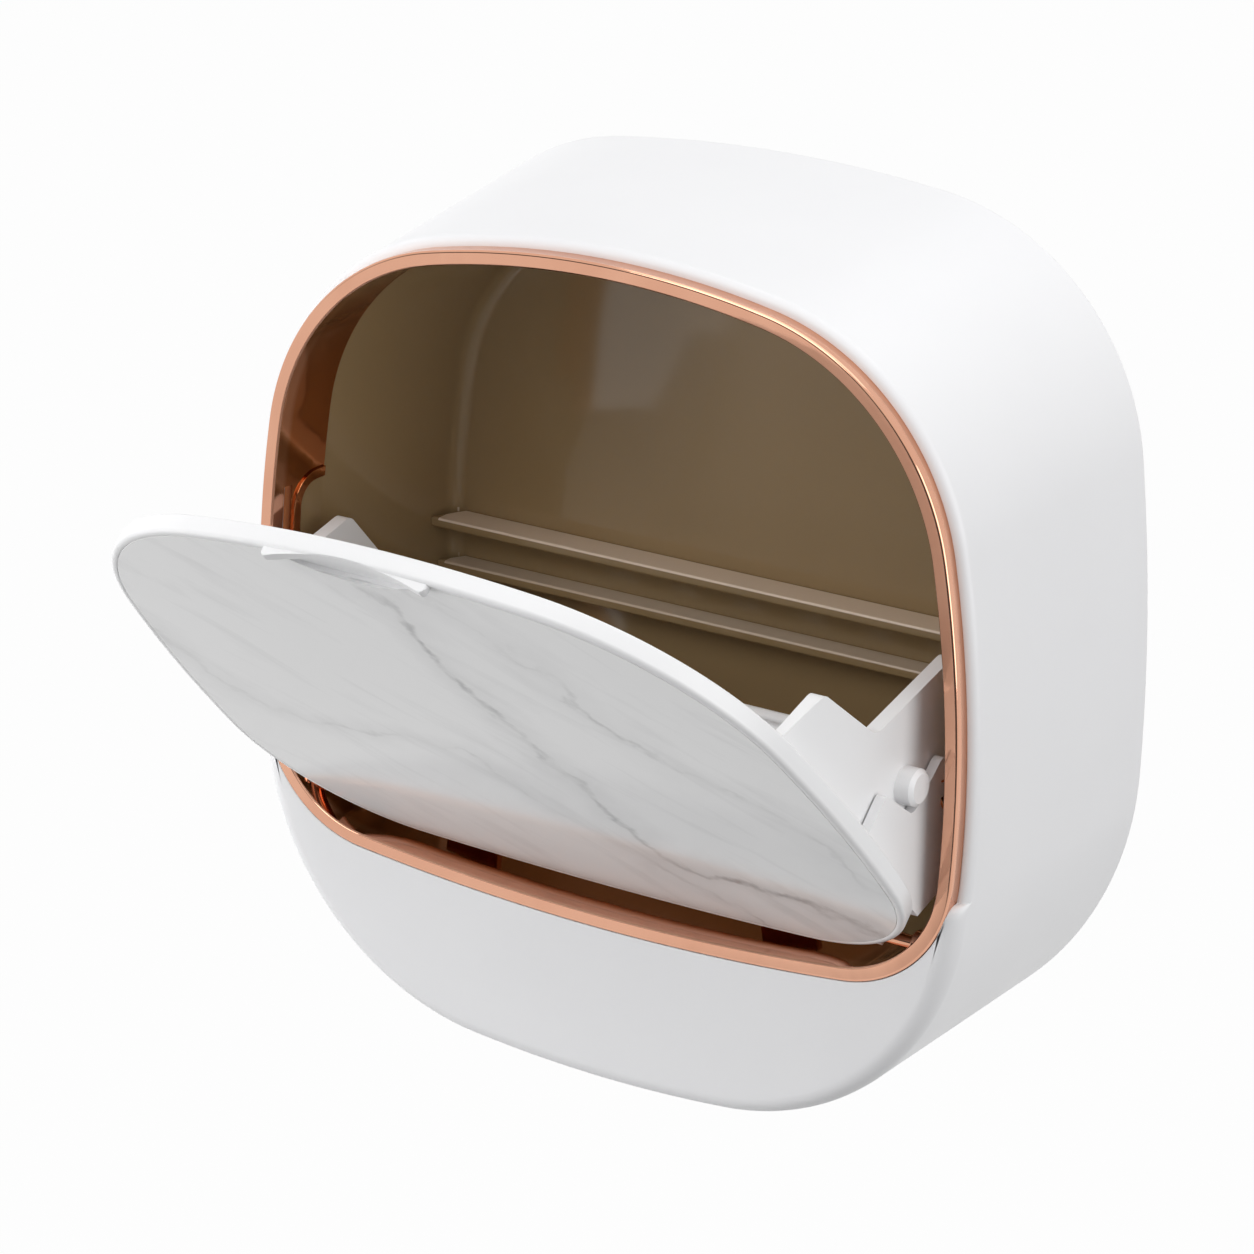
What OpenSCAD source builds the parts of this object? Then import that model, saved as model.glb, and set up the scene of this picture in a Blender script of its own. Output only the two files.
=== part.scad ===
// Wall-hung soap dish with a flip lid, drawn with its lid tilted open.
// The origin is the centre of the wall face. +X is to the right, +Z is up and the front faces -Y.

/* [Case] */
// Width of the case across its front edge
case_w = 134; // [126:1:146]
// Height of the case above its widest line, at the front
case_top = 72; // [68:1:80]
// Depth of the case below its widest line, at the front
case_bottom = 65; // [60:1:72]
// Radius of the bowed sides
side_bow_r = 203; // [180:5:260]
// Radius of the bowed top
top_bow_r = 156; // [140:4:220]
// Radius of the bowed bottom
bottom_bow_r = 244; // [200:4:300]
// Radius of the two top corners
top_corner_r = 42; // [36:1:48]
// Radius of the two bottom corners
bottom_corner_r = 46.5; // [40:0.5:52]
// Depth of the case from the front of the frame to the back rim
case_depth = 52.5; // [51:0.5:64]
// Radius of the bowed sides at the back
back_side_bow_r = 330; // [260:5:400]
// Radius of the bowed top at the back
back_top_bow_r = 245; // [190:5:320]
// Radius of the bowed bottom at the back
back_bottom_bow_r = 240; // [190:5:320]
// Radius of the two bottom corners at the back
back_bottom_corner_r = 57; // [50:0.5:60]
// Growth of each side from front to back
side_flare = 2; // [1:0.25:4]
// Growth of the top from front to back
top_flare = 4.7; // [3.5:0.1:7]
// Growth of the bottom from front to back
bottom_flare = 3.6; // [1:0.1:6]
// Wall of the case
case_wall = 2.4; // [2:0.1:2.6]
// Radius round the front edge of the chin
chin_edge_r = 3; // [2:0.25:4]
// Height of the chin's shoulder below the widest line
chin_shoulder = 18.8; // [17:0.2:21]
// Setback of the chin behind the face of the frame
chin_setback = 0.3; // [0.1:0.1:0.6]

/* [Frame] */
// Step from the case outline in to the frame
rim_step = 1.7; // [1.4:0.1:2]
// Width of the plated front band
band_w = 2.4; // [2.2:0.1:3]
// Height of the frame that stands in front of the case rim
skirt_h = 2.8; // [2.4:0.1:3.4]
// Depth of the lower edge of the frame below the widest line
frame_drop = 37.9; // [36:0.1:40]
// Radius of the bowed lower edge of the frame
frame_bow_r = 414; // [340:2:480]
// Radius of the lower corners of the frame
frame_corner_r = 21.2; // [19:0.1:23]
// Depth of the plated sleeve inside the opening
sleeve_depth = 13.1; // [12:0.1:15]
// Thickness of the sleeve
sleeve_t = 1.4; // [1:0.1:1.5]
// Height of the notch top and slot top in the sleeve sides
notch_top = 21.8; // [19:0.1:24]
// Reach of the notch below the widest line
notch_drop = 9; // [6:0.5:11]

/* [Liner] */
// Wall of the liner
liner_t = 1.2; // [1:0.1:1.4]
// Narrowing of the liner from its mouth to its back
liner_draft = 3.2; // [2:0.1:4]
// Radius where the liner walls meet its back
liner_fillet = 4; // [3:0.25:5]
// Height of the upper ledge across the liner back
ledge_z = 7.5; // [5:0.1:9]
// Depth of the upper ledge
ledge_d = 6; // [4:0.1:6.2]

/* [Lid] */
// Gap between the closed lid and the opening
lid_gap = 0.5; // [0.45:0.05:0.8]
// Thickness of the lid
lid_t = 3.3; // [3.2:0.1:3.8]
// Recess of the closed lid behind the face of the frame
lid_recess = 1.75; // [1.4:0.05:2]
// Radius of the lower corners of the lid
lid_corner_r = 28; // [26:0.5:29]
// Thickness of the marbled face sheet
face_t = 0.5; // [0.4:0.05:0.6]
// White rim left round the face sheet
face_rim = 1.1; // [0.9:0.1:1.6]
// Angle of the open lid, in degrees
open_angle = 42.7; // [35:0.1:45]
// Height of the hinge line above the lower edge of the opening
hinge_rise = 8; // [7.8:0.1:9]
// Radius of a hinge pin
pin_r = 1.1; // [0.9:0.05:1.15]
// Gap between the lid and the bearings beside it
bearing_gap = 0.4; // [0.3:0.05:0.8]
// Width of the finger pull
pull_w = 28.6; // [24:0.2:34]
// Height of the finger pull with its hollow
pull_h = 5.8; // [5:0.1:8]
// Forward reach of the finger pull at its tips
pull_proud = 1.5; // [1.2:0.1:1.6]
// Dip of the finger pull at its middle
pull_dip = 0.5; // [0.3:0.05:0.8]

/* [Cradle] */
// Room between each side plate of the cradle and the side of the opening
cradle_room = 5.3; // [5.2:0.1:8]
// Thickness of a side plate
plate_t = 2.4; // [1.8:0.1:2.6]
// Height of the cradle floor above the hinge line
floor_rise = 3.5; // [3:0.1:5]
// Thickness of the floor
floor_t = 2; // [1.6:0.1:2.4]
// Reach of the cradle behind the face of the frame
cradle_reach = 39.3; // [36:0.1:39.4]
// Reach of the cradle floor behind the face of the frame
floor_reach = 32.2; // [30:0.1:34]
// Height of the rear lip from the underside of the floor
rear_lip_h = 3.4; // [3.2:0.1:5]
// Radius of a side stud
stud_r = 2.9; // [2.5:0.1:3.1]
// Length of a side stud beyond its plate
stud_l = 3; // [2.6:0.1:3.2]
// Number of ribs on the floor
rib_count = 9; // [7:2:13]
// Height of a floor rib
rib_h = 1.2; // [1:0.1:1.4]
// Travel that frees the cradle from the lid
cradle_travel = 8; // [6:0.5:8.5]

/* [Wall mount] */
// Gap between the back rim and the wall
wall_gap = 1; // [0.8:0.1:2]
// Width of the wall plate
plate_w = 60; // [50:2:76]
// Height of the wall plate
plate_h = 80; // [72:2:90]
// Thickness of the adhesive pad
pad_t = 0.8; // [0.6:0.1:1]
// Thickness of the wall plate
plate_base_t = 1.6; // [1.4:0.1:2]
// Thickness of the back cover
cover_t = 1.6; // [1.4:0.1:1.8]
// Distance between the two hooks
hook_pitch = 36; // [28:2:40]
// Width of a hook neck
hook_neck_w = 5; // [4:0.5:6]
// Width of a hook head
hook_head_w = 10; // [9:0.5:12]
// Height of a hook
hook_h = 5; // [4:0.5:6]
// Thickness of a hook head
hook_head_t = 1.4; // [1.2:0.1:1.6]
// Lift that frees the case from the hooks
lift_travel = 8; // [7:0.5:10]

/* [Fits] */
// Gap between fixed parts that are pushed together
seat_gap = 0.1; // [0.05:0.01:0.15]
// Gap round parts that are slid past each other
slide_gap = 0.3; // [0.2:0.05:0.4]
// Radial gap between a hinge pin and its bore
bore_gap = 0.05; // [0.03:0.01:0.08]

/* [Hidden] */

// Steps of a corner, of a bowed side and of a small round
corner_steps = 14;
bow_steps = 8;
round_steps = 6;
$fn = 48;
// Overrun of a cut past the surface that it cuts
over = 1;

// An outline is [half width, top, bottom, bow radii of side, top and bottom, top and bottom corner radii]
case_front = [case_w / 2, case_top, -case_bottom, side_bow_r, top_bow_r, bottom_bow_r,
    top_corner_r, bottom_corner_r];
case_back = [case_w / 2 + side_flare, case_top + top_flare, -case_bottom - bottom_flare,
    back_side_bow_r, back_top_bow_r, back_bottom_bow_r, top_corner_r, back_bottom_corner_r];
frame_outer = [case_w / 2 - rim_step, case_top - rim_step, -frame_drop,
    side_bow_r - rim_step, top_bow_r - rim_step, frame_bow_r,
    top_corner_r - rim_step, frame_corner_r];
opening = inset(frame_outer, band_w);
sleeve_outer = inset(opening, -sleeve_t);
liner_mouth = inset(opening, -2 * seat_gap);
cradle_w = 2 * (opening[0] - cradle_room);
lid_edge = [for (i = [0 : 7]) i == 7 ? lid_corner_r : inset(opening, lid_gap)[i]];

// Depths are measured back from the face of the frame, and the wall is at wall_depth
wall_depth = case_depth + wall_gap;
cover_back = wall_depth - pad_t - plate_base_t - slide_gap;
cover_front = cover_back - cover_t;
head_back = cover_front - slide_gap;
head_front = head_back - hook_head_t;
liner_back = head_front - slide_gap;

// Lid planes and hinge line, in depth and height
lid_front = lid_recess;
lid_back = lid_recess + lid_t;
pin_cover = 0.2;
hinge_d = lid_front + face_t + pin_cover + pin_r;
hinge_z = opening[2] + hinge_rise;
lid_half_w = low_half_width(lid_edge, hinge_z);

// Same outline drawn in by g all round
function inset(o, g) =
    [o[0] - g, o[1] - g, o[2] + g, o[3] - g, o[4] - g, o[5] - g, o[6] - g, o[7] - g];

function heading(from, to) = atan2(to[1] - from[1], to[0] - from[0]);

// Centre of a circle that touches two bows from inside, on the side that s points to
function blend_centre(p, rp, q, rq, s) =
    let (d = norm(q - p), u = (q - p) / d, x = (rp * rp - rq * rq + d * d) / (2 * d),
        across = [-u[1], u[0]] * sqrt(max(0, rp * rp - x * x)))
    (across * s > 0 ? across : -across) + p + u * x;

function side_centre(o) = [o[0] - o[3], 0];
function top_centre(o) = [0, o[1] - o[4]];
function bottom_centre(o) = [0, o[2] + o[5]];

function upper_corner(o) =
    blend_centre(side_centre(o), o[3] - o[6], top_centre(o), o[4] - o[6], [1, 1]);

function lower_corner(o) =
    blend_centre(side_centre(o), o[3] - o[7], bottom_centre(o), o[5] - o[7], [1, -1]);

// Half width of an outline at a height that its lower corners reach
function low_half_width(o, z) =
    let (c = lower_corner(o)) c[0] + sqrt(o[7] * o[7] - (z - c[1]) * (z - c[1]));

// Height of the bottom bow of an outline at x
function bottom_at(o, x) = o[2] + o[5] - sqrt(o[5] * o[5] - x * x);

// Points of an arc, without its last one
function arc(c, r, a0, a1, n) =
    [for (i = [0 : n - 1]) c + r * [cos(a0 + (a1 - a0) * i / n), sin(a0 + (a1 - a0) * i / n)]];

// Points of an outline: four shallow bows joined by four tangent corners
function outline_points(o) =
    let (upper = upper_corner(o), lower = lower_corner(o),
        side_up = heading(side_centre(o), upper), side_down = heading(side_centre(o), lower),
        top_a = heading(top_centre(o), upper), bottom_a = heading(bottom_centre(o), lower),
        half = concat(
            arc(bottom_centre(o), o[5], -90, bottom_a, bow_steps / 2),
            arc(lower, o[7], bottom_a, side_down, corner_steps),
            arc(side_centre(o), o[3], side_down, side_up, bow_steps),
            arc(upper, o[6], side_up, top_a, corner_steps),
            arc(top_centre(o), o[4], top_a, 90, bow_steps / 2),
            [[0, o[1]]]))
    concat(half, [for (i = [len(half) - 2 : -1 : 1]) [-half[i][0], half[i][1]]]);

module outline(o) {
    polygon(outline_points(o));
}

// Arc that rounds corner b of the path a, b, c
function rounded_corner(a, b, c, r) =
    let (u = (a - b) / norm(a - b), v = (c - b) / norm(c - b), half = acos(u * v) / 2,
        centre = b + (u + v) / norm(u + v) * r / sin(half),
        a0 = heading(centre, b + u * r / tan(half)),
        turn = heading(centre, b + v * r / tan(half)) - a0,
        sweep = turn > 180 ? turn - 360 : turn < -180 ? turn + 360 : turn)
    [for (i = [0 : round_steps])
        centre + r * [cos(a0 + sweep * i / round_steps), sin(a0 + sweep * i / round_steps)]];

// Polygon through [x, z, radius] corners, with each corner rounded by its radius
module rounded(corners) {
    n = len(corners);
    at = [for (k = corners) [k[0], k[1]]];
    polygon([for (i = [0 : n - 1])
        each corners[i][2] > 0
            ? rounded_corner(at[(i + n - 1) % n], at[i], at[(i + 1) % n], corners[i][2])
            : [at[i]]]);
}

module rounded_plate(w, h, r) {
    rounded([for (k = [[-1, -1], [1, -1], [1, 1], [-1, 1]]) [k[0] * w / 2, k[1] * h / 2, r]]);
}

// A 2D shape in X and Z, extruded between two depths
module slab(d0, d1) {
    translate([0, d1 - wall_depth, 0])
        rotate([90, 0, 0])
            linear_extrude(height = d1 - d0)
                children();
}

// A 2D shape in depth and Z, extruded between two places on X
module side_slab(x0, x1) {
    translate([x0, -wall_depth, 0])
        rotate([90, 0, 90])
            linear_extrude(height = x1 - x0)
                children();
}

// A round rod along X between two places, at a depth and height
module cross_rod(x0, x1, d, z, r) {
    translate([x0, d - wall_depth, z])
        rotate([0, 90, 0])
            cylinder(h = x1 - x0, r = r);
}

// A body ruled through outlines, each given as [outline, depth] from front to back
module skin(stations) {
    rings = [for (s = stations) outline_points(s[0])];
    n = len(rings[0]);
    last = len(stations) - 1;
    sides = [for (k = [0 : last - 1], i = [0 : n - 1])
        let (a = k * n + i, b = k * n + (i + 1) % n)
            each [[a, b, b + n], [a, b + n, a + n]]];
    polyhedron(
        points = [for (k = [0 : last], p = rings[k]) [p[0], stations[k][1] - wall_depth, p[1]]],
        faces = concat([[for (i = [n - 1 : -1 : 0]) i]], sides, [[for (i = [0 : n - 1]) last * n + i]]));
}

// Both sides of the part
module mirrored() {
    children();
    mirror([1, 0, 0]) children();
}

// Turns what is drawn closed into the open pose
module opened() {
    translate([0, hinge_d - wall_depth, hinge_z])
        rotate([open_angle, 0, 0])
            translate([0, wall_depth - hinge_d, -hinge_z])
                children();
}

// Outer shell: moulded case with the chin below the frame and a rabbet for the back cover
rim_round = 0.7;
back_round = 0.8;
rabbet = 1.4;
deck_t = 2.2;
deck_w = 1.5;
shoulder_r = 2.4;
boss_r = 3.2;
boss_l = 9;
boss_depth = 8;
boss_rib_t = 1.6;
boss_edge = 6.4;
screw_r = 1.1;
screw_angles = [62, -60];

// Places what follows at the four cover screws, one inside each corner, with +X towards the wall
module at_screws() {
    centres = [upper_corner(case_back), lower_corner(case_back)];
    for (s = [0, 1], k = [0, 1])
        mirror([s, 0])
            translate(centres[k])
                rotate(screw_angles[k])
                    translate([case_back[6 + k] - boss_edge, 0])
                        children();
}

module case_body() {
    skin([
        [inset(case_front, rim_round), skirt_h],
        [inset(case_front, rim_round / 3), skirt_h + rim_round],
        [case_front, skirt_h + 3 * rim_round],
        [case_back, case_depth - back_round],
        [inset(case_back, back_round / 3), case_depth - back_round / 3],
        [inset(case_back, back_round), case_depth]]);
}

module chin_body() {
    skin(concat(
        [for (a = [0 : 22.5 : 90])
            [inset(case_front, chin_edge_r * (1 - sin(a))), chin_setback + chin_edge_r * (1 - cos(a))]],
        [[case_front, skirt_h + 3 * rim_round]]));
}

// Side view of the chin, with a rounded shoulder where the side of the frame ends
module chin_zone() {
    low = -2 * case_bottom;
    back = skirt_h + 3 * rim_round;
    rounded([[0, low, 0], [back, low, 0], [back, -chin_shoulder, 0],
        [0, -chin_shoulder, shoulder_r]]);
}

module screw_bosses() {
    slab(cover_front - boss_l, cover_front)
        at_screws() {
            circle(r = boss_r);
            translate([boss_edge / 2, 0]) square([boss_edge, boss_rib_t], center = true);
        }
}

module outer_shell() {
    color("white")
        difference() {
            union() {
                difference() {
                    union() {
                        case_body();
                        intersection() {
                            chin_body();
                            side_slab(-case_w, case_w) chin_zone();
                        }
                    }
                    skin([[inset(case_front, case_wall), chin_setback + case_wall],
                        [inset(case_back, case_wall), case_depth + over]]);
                }
                slab(skirt_h - over, skirt_h + deck_t)
                    intersection() {
                        outline(inset(frame_outer, -deck_w));
                        outline(inset(case_front, rim_step));
                    }
                intersection() {
                    screw_bosses();
                    case_body();
                }
            }
            slab(-over, skirt_h) outline(inset(frame_outer, -seat_gap));
            slab(-over, skirt_h + deck_t + over) outline(inset(sleeve_outer, -seat_gap));
            slab(cover_front, case_depth + over) outline(inset(case_back, rabbet));
            slab(cover_front - boss_depth, cover_front + over)
                at_screws() circle(r = screw_r + press_gap);
        }
}

// Back cover: flat plate with two keyholes, four screw holes and four pads that hold the liner
press_gap = 0.05;
hook_z = 0.3 * plate_h;
screw_seat_r = 2.6;
screw_seat_t = 0.8;
pad_r = 3;
pad_share = 0.6;
pad_inset = 22;
pad_places = [for (s = [-0.5, 0.5], z = [opening[2] + pad_inset, opening[1] - pad_inset])
    [s * pad_share * case_w, z]];

// Keyhole round a hook that rests at the top of its narrow part
module keyhole() {
    tall = hook_h + 2 * slide_gap;
    translate([0, -lift_travel / 2])
        square([hook_neck_w + 2 * slide_gap, tall + lift_travel], center = true);
    translate([0, -lift_travel])
        square([hook_head_w + 2 * slide_gap, tall], center = true);
}

module at_hooks() {
    for (s = [-1, 1])
        translate([s * hook_pitch / 2, hook_z]) children();
}

module back_cover() {
    color("whitesmoke") {
        difference() {
            slab(cover_front, cover_back) outline(inset(case_back, rabbet + seat_gap));
            slab(cover_front - over, cover_back + over) at_hooks() keyhole();
            slab(cover_front - over, cover_back + over)
                at_screws() circle(r = screw_r + seat_gap);
            slab(cover_back - screw_seat_t, cover_back + over)
                at_screws() circle(r = screw_seat_r);
        }
        slab(liner_back, cover_front + cover_t / 2)
            for (p = pad_places)
                translate(p) circle(r = pad_r);
    }
}

// Cover screws: four self-tapping screws with flat cross-recessed heads
screw_l = 7;
screw_head_r = 2.3;
drive_w = 0.6;
drive_l = 2.8;
drive_d = 0.4;

module cover_screws() {
    seat = cover_back - screw_seat_t;
    color("silver")
        difference() {
            union() {
                slab(seat - screw_l, seat) at_screws() circle(r = screw_r);
                slab(seat, cover_back) at_screws() circle(r = screw_head_r);
            }
            slab(cover_back - drive_d, cover_back + over)
                at_screws() {
                    square([drive_l, drive_w], center = true);
                    square([drive_w, drive_l], center = true);
                }
        }
}

// Trim frame: plated bezel and sleeve in one moulding, with the bearings of the hinge pins
outer_bevel = 0.4;
inner_bevel = 0.7;
notch_front = 7.2;
notch_r = 3.6;
bead_w = 1.8;
bead_h = 0.4;
slot_w = 2;
slot_rise = 0.7;
slot_low = 5;
bearing_r = 2.2;
bearing_l = 2;
bearing_x = max(low_half_width(lid_edge, hinge_z + bearing_r) + bearing_gap,
    low_half_width(opening, hinge_z) - bearing_l);
stop_w = 10;
stop_share = 0.48;
stop_x = stop_share * opening[0];
stop_t = 1.8;
stop_h = 4.6;

// Side view of the notch in the rear edge of the sleeve, let out by g
module notch_side(g, d1) {
    low = -notch_drop - g;
    high = notch_top + g;
    front = notch_front - g;
    rounded([[d1, low, 0], [d1, high, 0], [front, high, notch_r + g], [front, low, notch_r + g]]);
}

module frame_band() {
    difference() {
        skin([[inset(frame_outer, outer_bevel), 0],
            [frame_outer, outer_bevel],
            [frame_outer, skirt_h]]);
        skin([[inset(opening, -inner_bevel - seat_gap), -seat_gap],
            [opening, inner_bevel],
            [opening, skirt_h + over]]);
    }
}

module sleeve() {
    slab(skirt_h - over, sleeve_depth)
        difference() {
            outline(sleeve_outer);
            outline(opening);
        }
}

// Raised bead round the notch, on the bowed side of the opening
module notch_bead() {
    intersection() {
        slab(notch_front - bead_w, sleeve_depth)
            difference() {
                outline(inset(opening, -seat_gap));
                outline(inset(opening, bead_h));
            }
        side_slab(0, case_w) notch_side(bead_w, sleeve_depth);
    }
}

module bearing() {
    intersection() {
        cross_rod(bearing_x, case_w / 2, hinge_d, hinge_z, bearing_r);
        slab(inner_bevel, sleeve_depth) outline(inset(opening, -seat_gap));
    }
}

// Rib on the sleeve floor that the lower edge of the open lid leans on
module stop_rib() {
    y = lid_back - hinge_d;
    z = lid_edge[2] - hinge_z;
    front = hinge_d + y * cos(open_angle) - z * sin(open_angle) + slide_gap;
    low = bottom_at(opening, stop_x + stop_w / 2) - seat_gap;
    slab(front, front + stop_t)
        translate([stop_x - stop_w / 2, opening[2] - seat_gap])
            square([stop_w, stop_h + low - opening[2]]);
}

module trim_frame() {
    color("darksalmon")
        difference() {
            union() {
                frame_band();
                sleeve();
                mirrored() {
                    notch_bead();
                    bearing();
                    stop_rib();
                }
            }
            mirrored() {
                side_slab(case_w / 4, case_w) notch_side(0, sleeve_depth + over);
                side_slab(case_w / 4, case_w)
                    translate([skirt_h, slot_low]) square([slot_w, notch_top + slot_rise - slot_low]);
                cross_rod(bearing_x - over, case_w / 2, hinge_d, hinge_z, pin_r + bore_gap);
            }
        }
}

// Inner liner: smoky tub behind the sleeve, with two ledges across its back and a tongue each side
rail_z = -0.6;
rail_d = 4.4;
ledge_t = 1.7;

// Stations of the tub with its wall let out by g and its back at the given depth
function liner_stations(g, back) =
    let (w = inset(liner_mouth, liner_draft - g), f = liner_fillet, k = f * (1 - cos(45)))
    [[inset(liner_mouth, -g), sleeve_depth + seat_gap],
        [w, back - f],
        [inset(w, k), back - k],
        [inset(w, f), back]];

module ledge(z, d) {
    slab(liner_back - liner_t - d, liner_back)
        translate([-case_w / 2, z - ledge_t]) square([case_w, ledge_t]);
}

module side_tongue() {
    intersection() {
        slab(notch_front, sleeve_depth + liner_t)
            difference() {
                outline(inset(liner_mouth, -liner_t));
                outline(liner_mouth);
            }
        side_slab(0, case_w) notch_side(-slide_gap / 2, sleeve_depth + liner_t);
    }
}

module inner_liner() {
    color("dimgray") {
        difference() {
            skin(liner_stations(liner_t, liner_back));
            skin(concat([[liner_mouth, sleeve_depth]], liner_stations(0, liner_back - liner_t)));
        }
        intersection() {
            skin(liner_stations(liner_t / 2, liner_back - liner_t / 2));
            union() {
                ledge(ledge_z, ledge_d);
                ledge(rail_z, rail_d);
            }
        }
        mirrored() side_tongue();
    }
}

// Lid panel: moulded slab with a finger pull, a cheek each side and two rails for the cradle
lid_round = 0.7;
lid_back_round = 0.4;
cheek_t = 1.6;
cheek_top = 3.7;
cheek_low = -20;
cheek_heel = -24;
lobe_d = 8;
lobe_r = 0.8;
seat_d = 10;
seat_r = 1.8;
seat_drop = 0.9;
arm_d = 21;
arm_low = -15;
cheek_r = 3;
knuckle_r = 2.3;
knuckle_l = 9;
pull_t = 1.7;
tip_r = 0.9;
hollow_d = 1.2;
rail_share = 0.52;
rail_x = rail_share * cradle_w / 2;
rail_neck_w = 3;
rail_head_w = 7;
rail_head_t = 1.4;
rail_low = 4;
rail_h = cradle_travel - slide_gap;
pin_grip = 6;
front_wall_t = 1.6;

// Radius of an arc from its chord and its rise
function arc_radius(chord, rise) = (chord * chord / 4 + rise * rise) / (2 * rise);

module lid_slab() {
    r = lid_round;
    k = r * (1 - cos(45));
    skin([[inset(lid_edge, r), lid_front],
        [inset(lid_edge, k), lid_front + k],
        [lid_edge, lid_front + r],
        [lid_edge, lid_back - lid_back_round],
        [inset(lid_edge, lid_back_round), lid_back]]);
}

// Upright cylinder whose back dips d behind the lid face and meets it g in front at the ends of width w
module upright(w, d, g) {
    r = arc_radius(w, d + g);
    translate([0, lid_front + d - r - wall_depth, lid_edge[1] - 2 * pull_h])
        cylinder(h = 3 * pull_h, r = r, $fn = 240);
}

// Brow along the top edge, with two rounded tips that stand forward
module pull_brow() {
    front = lid_front - pull_proud - wall_depth;
    intersection() {
        slab(lid_front - pull_proud, lid_front + lid_t / 2)
            difference() {
                outline(inset(lid_edge, lid_round / 2));
                outline(inset(lid_edge, pull_t));
            }
        translate([0, 0, lid_edge[1] - pull_h])
            linear_extrude(height = 2 * pull_h)
                rounded([[-pull_w / 2, front, tip_r], [pull_w / 2, front, tip_r],
                    [pull_w / 2, front + lid_t, 0], [-pull_w / 2, front + lid_t, 0]]);
    }
}

// Shallow hollow under the brow for the finger tip
module pull_hollow() {
    intersection() {
        slab(lid_front - over, lid_back)
            intersection() {
                outline(inset(lid_edge, pull_t));
                translate([-pull_w / 2, lid_edge[1] - pull_h]) square([pull_w, pull_h]);
            }
        upright(pull_w - 2 * tip_r, hollow_d, 0);
    }
}

// Dip that leaves the brow low at its middle
module pull_scoop() {
    intersection() {
        slab(lid_front - pull_proud - over, lid_back)
            translate([-pull_w / 2, lid_edge[1] - pull_h]) square([pull_w, 2 * pull_h]);
        upright(pull_w, pull_dip, pull_proud);
    }
}

// Side bracket of the lid with a seat for the stud of the cradle
module cheek() {
    x = cradle_w / 2 + slide_gap;
    front = lid_back - seat_gap;
    seat = stud_z - stud_r - seat_gap;
    intersection() {
        side_slab(x, x + cheek_t)
            rounded([[front, cheek_low, 0], [lid_back, cheek_low, 0],
                [lid_back + lobe_d, cheek_heel, cheek_r], [lid_back + arm_d, arm_low, cheek_r],
                [lid_back + arm_d, seat - seat_drop, cheek_t], [lid_back + seat_d, seat, seat_r],
                [lid_back + lobe_d, cheek_top, lobe_r], [front, cheek_top, 0]]);
        union() {
            slab(0, lid_back) outline(inset(lid_edge, lid_back_round));
            slab(lid_back, case_depth) outline(inset(opening, lid_gap));
        }
    }
}

// Rail with a wide head that the front wall of the cradle is pushed down over
module cradle_rail() {
    low = hinge_z + rail_low;
    neck_back = lid_back + front_wall_t + 2 * slide_gap;
    slab(lid_back - seat_gap, neck_back)
        translate([rail_x - rail_neck_w / 2, low]) square([rail_neck_w, rail_h]);
    slab(neck_back, neck_back + rail_head_t)
        translate([rail_x - rail_head_w / 2, low]) square([rail_head_w, rail_h]);
}

module knuckle() {
    x1 = lid_half_w - lid_round;
    intersection() {
        cross_rod(x1 - knuckle_l, x1, hinge_d, hinge_z, knuckle_r);
        slab(lid_front + lid_round, lid_back + knuckle_r) outline(lid_edge);
    }
}

// Area of the lid front that the finger pull takes up
module pull_area(g) {
    translate([-pull_w / 2 - g, lid_edge[1] - pull_h - g]) square([pull_w + 2 * g, pull_h + over]);
}

module lid_panel() {
    color("white")
        opened()
            difference() {
                union() {
                    difference() {
                        lid_slab();
                        slab(lid_front - over, lid_front + face_t)
                            difference() {
                                outline(inset(lid_edge, face_rim));
                                pull_area(0);
                            }
                    }
                    pull_brow();
                    mirrored() {
                        cheek();
                        cradle_rail();
                        knuckle();
                    }
                }
                pull_hollow();
                pull_scoop();
                mirrored()
                    cross_rod(lid_half_w - pin_grip, case_w / 2, hinge_d, hinge_z, pin_r + press_gap);
            }
}

// Marble face: thin veined sheet bonded into the front of the lid
module marble_face() {
    color("lightgray")
        opened()
            slab(lid_front, lid_front + face_t)
                difference() {
                    outline(inset(lid_edge, face_rim + seat_gap));
                    pull_area(seat_gap);
                }
}

// Hinge pins: short plated pins pressed into the lid and turning in the frame
pin_end_gap = 0.4;

module hinge_pin() {
    color("darksalmon")
        cross_rod(lid_half_w - pin_grip + seat_gap, low_half_width(sleeve_outer, hinge_z - pin_r) - pin_end_gap,
            hinge_d, hinge_z, pin_r);
}

module hinge_pin_right() {
    hinge_pin();
}

module hinge_pin_left() {
    mirror([1, 0, 0]) hinge_pin();
}

// Soap cradle: open bin behind the lid, with shaped side plates, a stud each side and a ribbed floor
ear_base = 33.2;
ear_tip = [15.9, 28.2];
ear_r = 2;
dip = [19.2, 10.4];
dip_r = 3.5;
arm_end = -0.8;
arm_r = 2;
heel_r = 4;
stud_d = 18.2;
stud_z = -3;
stud_bevel = 0.6;
front_wall_h = 26;
plate_low = -12;
lip_t = 1.8;
lip_r = 2.4;
rib_t = 1.6;
rib_margin = 3.4;
slot_w_share = 0.385;
slot_l_share = 0.58;
slot_mid_share = 0.52;

module cradle_side() {
    floor_z = hinge_z + floor_rise;
    d0 = lid_back + slide_gap;
    rounded([[d0, floor_z, 0], [floor_reach, floor_z, heel_r], [cradle_reach, plate_low, heel_r],
        [cradle_reach, arm_end, arm_r], [dip[0], dip[1], dip_r], [ear_tip[0], ear_tip[1], ear_r], [d0, ear_base, 0]]);
}

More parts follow.
